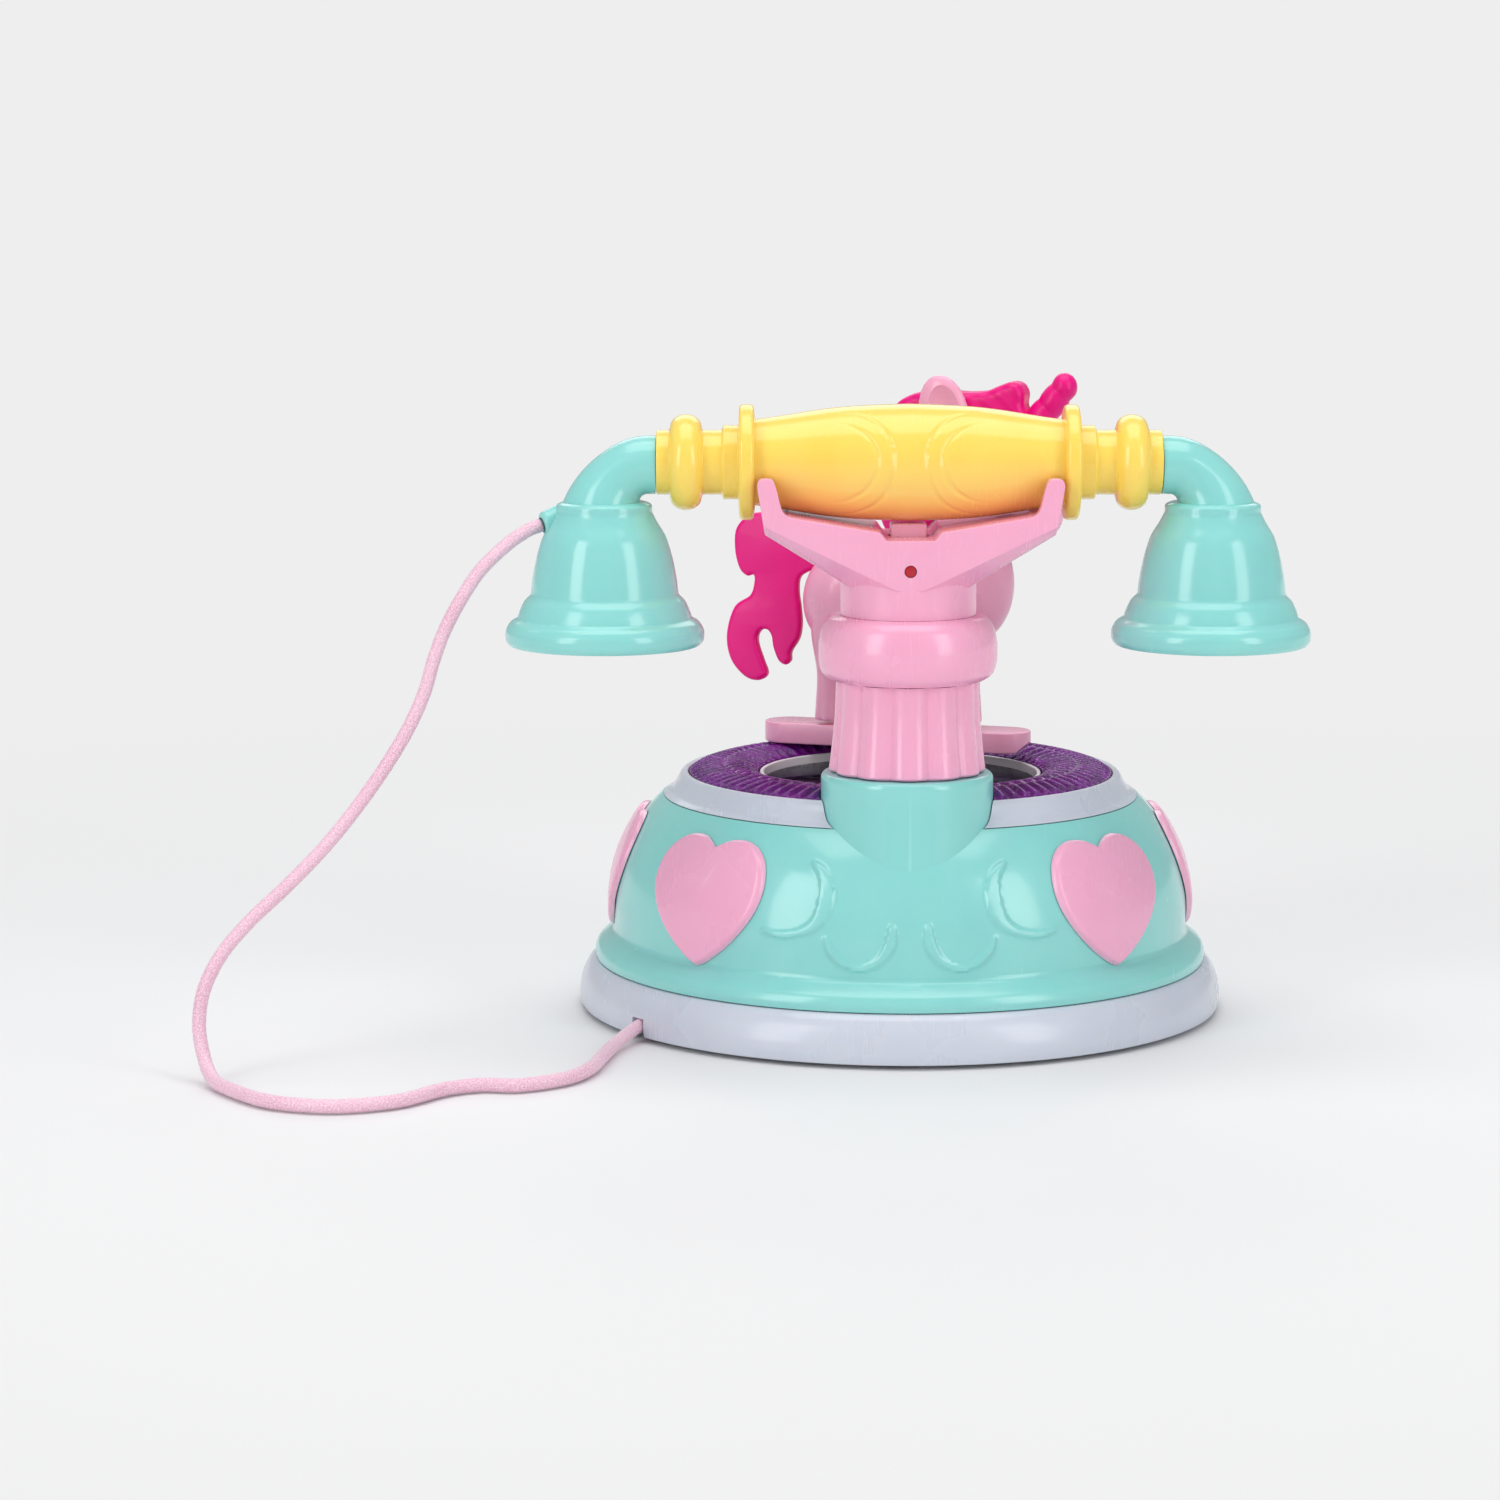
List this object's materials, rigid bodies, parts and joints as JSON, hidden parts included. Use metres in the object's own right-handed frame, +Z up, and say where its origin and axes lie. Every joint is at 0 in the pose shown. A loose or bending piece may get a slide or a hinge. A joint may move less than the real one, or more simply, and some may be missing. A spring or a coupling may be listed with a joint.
{
  "type": "toy telephone",
  "caption": "Toy table telephone with domed base, number keys, column cradle, lift-off handset on a braided cord and a unicorn on a turntable.",
  "frame": {"origin": "middle of the round base's underside, on the surface it stands on", "axes": "+Z up; +X along the handset towards the bell that the cord comes out of; +Y towards the column and handset, so the player sits at -Y"},
  "size_m": [0.2782, 0.218, 0.1669],
  "materials": {
    "turquoise_plastic": "gloss",
    "pink_plastic": "gloss",
    "magenta_plastic": "gloss",
    "yellow_plastic": "gloss",
    "lavender_plastic": "gloss",
    "purple_glitter": "translucent glitter",
    "smoked_mirror": "smoked mirror",
    "white_plastic": "satin",
    "black_plastic": "satin",
    "green_board": "lacquered board",
    "crimson_plastic": "satin",
    "grey_rubber": "matte",
    "satin_cord": "satin braid",
    "steel": "plain",
    "battery_jacket": "gloss"
  },
  "bodies": {
    "base": {"base_skirt": "lavender_plastic", "bottom_plate": "white_plastic", "battery_cover": "white_plastic", "battery_cover_screw": "steel", "battery_1": "battery_jacket", "battery_2": "battery_jacket", "rubber_foot_1": "grey_rubber", "rubber_foot_2": "grey_rubber", "rubber_foot_3": "grey_rubber", "dome_shell": "turquoise_plastic", "top_bezel": "lavender_plastic", "glitter_ring": "purple_glitter", "dish_rim": "white_plastic", "dish_mirror": "smoked_mirror", "heart_back_left": "pink_plastic", "heart_back_right": "pink_plastic", "heart_left": "pink_plastic", "heart_right": "pink_plastic", "speaker": "black_plastic", "circuit_board": "green_board", "ring_led": "crimson_plastic", "drive_motor": "steel", "column_lower": "pink_plastic", "column_screw": "steel", "column_collar": "pink_plastic", "cradle_back": "pink_plastic", "cradle_front": "pink_plastic", "cradle_plug": "crimson_plastic", "hook_spring": "steel", "hook_switch": "black_plastic", "handset_cord": "satin_cord"},
    "power_switch": {"power_switch": "black_plastic"},
    "drive_pinion": {"drive_pinion": "white_plastic"},
    "turntable": {"turntable_gear": "white_plastic", "turntable_shaft": "white_plastic", "platform": "pink_plastic", "unicorn_left_half": "pink_plastic", "unicorn_right_half": "pink_plastic", "unicorn_mane": "magenta_plastic", "unicorn_tail": "magenta_plastic", "unicorn_horn": "magenta_plastic"},
    "hook": {"hook_plunger": "pink_plastic"},
    "handset": {"handle_shell_back": "yellow_plastic", "handle_shell_front": "yellow_plastic", "elbow_left": "turquoise_plastic", "elbow_right": "turquoise_plastic", "bell_left": "turquoise_plastic", "bell_right": "turquoise_plastic", "bell_cap_left": "turquoise_plastic", "bell_cap_right": "turquoise_plastic"},
    "key_1": {"key_1": "pink_plastic"},
    "key_2": {"key_2": "pink_plastic"},
    "key_3": {"key_3": "pink_plastic"},
    "key_4": {"key_4": "pink_plastic"},
    "key_5": {"key_5": "pink_plastic"},
    "key_6": {"key_6": "pink_plastic"},
    "key_7": {"key_7": "pink_plastic"},
    "key_8": {"key_8": "pink_plastic"},
    "key_9": {"key_9": "pink_plastic"},
    "key_0": {"key_0": "pink_plastic"}
  },
  "joints": [
    {"name": "handset_lift", "type": "slide", "parent": "base", "child": "handset", "axis": [0, 0, 1], "range_m": [0, 0.06], "deforming": ["handset_cord"]},
    {"name": "hook_rise", "type": "slide", "parent": "base", "child": "hook", "axis": [0, 0, 1], "range_m": [0, 0.003], "deforming": ["hook_spring"]},
    {"name": "turntable_spin", "type": "hinge", "parent": "base", "child": "turntable", "pos_m": [0, -0.026, 0.053], "axis": [0, 0, 1], "continuous": true},
    {"name": "pinion_spin", "type": "hinge", "parent": "base", "child": "drive_pinion", "pos_m": [0, -0.002, 0.053], "axis": [0, 0, 1], "continuous": true},
    {"name": "power_slide", "type": "slide", "parent": "base", "child": "power_switch", "axis": [1, 0, 0], "range_m": [0, 0.0044]},
    {"name": "key_1_press", "type": "slide", "parent": "base", "child": "key_1", "axis": [0.3332, 0.7483, -0.5736], "range_m": [0, 0.0015], "stiffness_N_per_m": 60, "springref_m": -0.003},
    {"name": "key_2_press", "type": "slide", "parent": "base", "child": "key_2", "axis": [0.1703, 0.8013, -0.5736], "range_m": [0, 0.0015], "stiffness_N_per_m": 60, "springref_m": -0.003},
    {"name": "key_3_press", "type": "slide", "parent": "base", "child": "key_3", "axis": [0, 0.8192, -0.5736], "range_m": [0, 0.0015], "stiffness_N_per_m": 60, "springref_m": -0.003},
    {"name": "key_4_press", "type": "slide", "parent": "base", "child": "key_4", "axis": [-0.1703, 0.8013, -0.5736], "range_m": [0, 0.0015], "stiffness_N_per_m": 60, "springref_m": -0.003},
    {"name": "key_5_press", "type": "slide", "parent": "base", "child": "key_5", "axis": [-0.3332, 0.7483, -0.5736], "range_m": [0, 0.0015], "stiffness_N_per_m": 60, "springref_m": -0.003},
    {"name": "key_6_press", "type": "slide", "parent": "base", "child": "key_6", "axis": [0.3993, 0.8968, -0.1908], "range_m": [0, 0.0015], "stiffness_N_per_m": 60, "springref_m": -0.003},
    {"name": "key_7_press", "type": "slide", "parent": "base", "child": "key_7", "axis": [0.2041, 0.9602, -0.1908], "range_m": [0, 0.0015], "stiffness_N_per_m": 60, "springref_m": -0.003},
    {"name": "key_8_press", "type": "slide", "parent": "base", "child": "key_8", "axis": [0, 0.9816, -0.1908], "range_m": [0, 0.0015], "stiffness_N_per_m": 60, "springref_m": -0.003},
    {"name": "key_9_press", "type": "slide", "parent": "base", "child": "key_9", "axis": [-0.2041, 0.9602, -0.1908], "range_m": [0, 0.0015], "stiffness_N_per_m": 60, "springref_m": -0.003},
    {"name": "key_0_press", "type": "slide", "parent": "base", "child": "key_0", "axis": [-0.3993, 0.8968, -0.1908], "range_m": [0, 0.0015], "stiffness_N_per_m": 60, "springref_m": -0.003}
  ],
  "couplings": [
    {"joint": "hook_rise", "follows": "handset_lift", "ratio": 0.05},
    {"joint": "pinion_spin", "follows": "turntable_spin", "ratio": -3}
  ]
}
